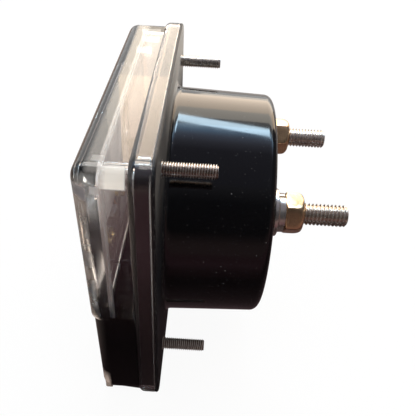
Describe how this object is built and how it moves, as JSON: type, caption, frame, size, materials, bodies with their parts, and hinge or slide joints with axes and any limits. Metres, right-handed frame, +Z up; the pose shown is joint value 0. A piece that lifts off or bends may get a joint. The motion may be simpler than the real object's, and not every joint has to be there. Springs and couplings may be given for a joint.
{
  "type": "analog panel meter",
  "caption": "Rectangular moving-coil panel meter with clear proud window, black lower mask, round barrel, rear terminals and mounting studs.",
  "frame": {"origin": "where the barrel's axis meets the back face of the flange, which is the face that lies on the panel", "axes": "+X right as seen from the front, +Y to the back along the barrel's axis, +Z up; the dial faces -Y"},
  "size_m": [0.064, 0.0457, 0.056],
  "materials": {
    "case_black": "gloss",
    "cover_clear": "clear, polished",
    "mask_black": "gloss",
    "screw_black": "satin",
    "stud_steel": "zinc plated",
    "terminal_metal": "nickel plated",
    "nut_brass": "bright",
    "washer_metal": "bright",
    "lug_metal": "tinned",
    "iron": "zinc plated",
    "magnet": "sintered",
    "die_cast": "as cast",
    "small_screw": "bright",
    "jewel_brass": "turned",
    "bronze": "strip",
    "coil_aluminium": "thin sheet",
    "coil_copper": "enamelled wire",
    "pointer_black": "matt",
    "dial_white": "matt, printed",
    "lead_wire": "tinned copper"
  },
  "bodies": {
    "case": {"bridge_pillars": "jewel_brass", "bridge_screws": "small_screw", "case_base": "case_black", "chassis_screws": "small_screw", "core_magnet": "magnet", "dial_plate": "dial_white", "dial_screws": "small_screw", "front_bridge": "die_cast", "front_cover": "cover_clear", "front_jewel_bush": "jewel_brass", "front_jewel_nut": "jewel_brass", "front_lead": "lead_wire", "iron_ring": "iron", "lower_mask": "mask_black", "mounting_studs": "stud_steel", "movement_chassis": "die_cast", "pointer_stops": "jewel_brass", "rear_jewel_bush": "jewel_brass", "rear_lead": "lead_wire", "terminal_lugs": "lug_metal", "terminal_nuts": "nut_brass", "terminal_spring_washers": "washer_metal", "terminal_studs": "terminal_metal", "terminal_washers": "washer_metal"},
    "zero_screw": {"zero_screw": "screw_black"},
    "zero_lever": {"zero_lever": "bronze"},
    "moving_coil": {"coil_former": "coil_aluminium", "coil_winding": "coil_copper", "coil_staffs": "jewel_brass", "pointer": "pointer_black", "balance_weights": "jewel_brass", "front_hairspring": "bronze", "rear_hairspring": "bronze"}
  },
  "joints": [
    {"name": "pointer_swing", "type": "hinge", "parent": "case", "child": "moving_coil", "pos_m": [0, 0, -0.011], "axis": [0, 1, 0], "range_deg": [0, 90], "stiffness_Nm_per_rad": 0.00005},
    {"name": "zero_screw_turn", "type": "hinge", "parent": "case", "child": "zero_screw", "pos_m": [0, 0, -0.0196], "axis": [0, 1, 0], "range_deg": [-35, 35]},
    {"name": "zero_lever_turn", "type": "hinge", "parent": "case", "child": "zero_lever", "pos_m": [0, 0, -0.011], "axis": [0, 1, 0], "range_deg": [-4.7, 4.7]}
  ],
  "couplings": [
    {"joint": "zero_lever_turn", "follows": "zero_screw_turn", "ratio": -0.13158}
  ]
}
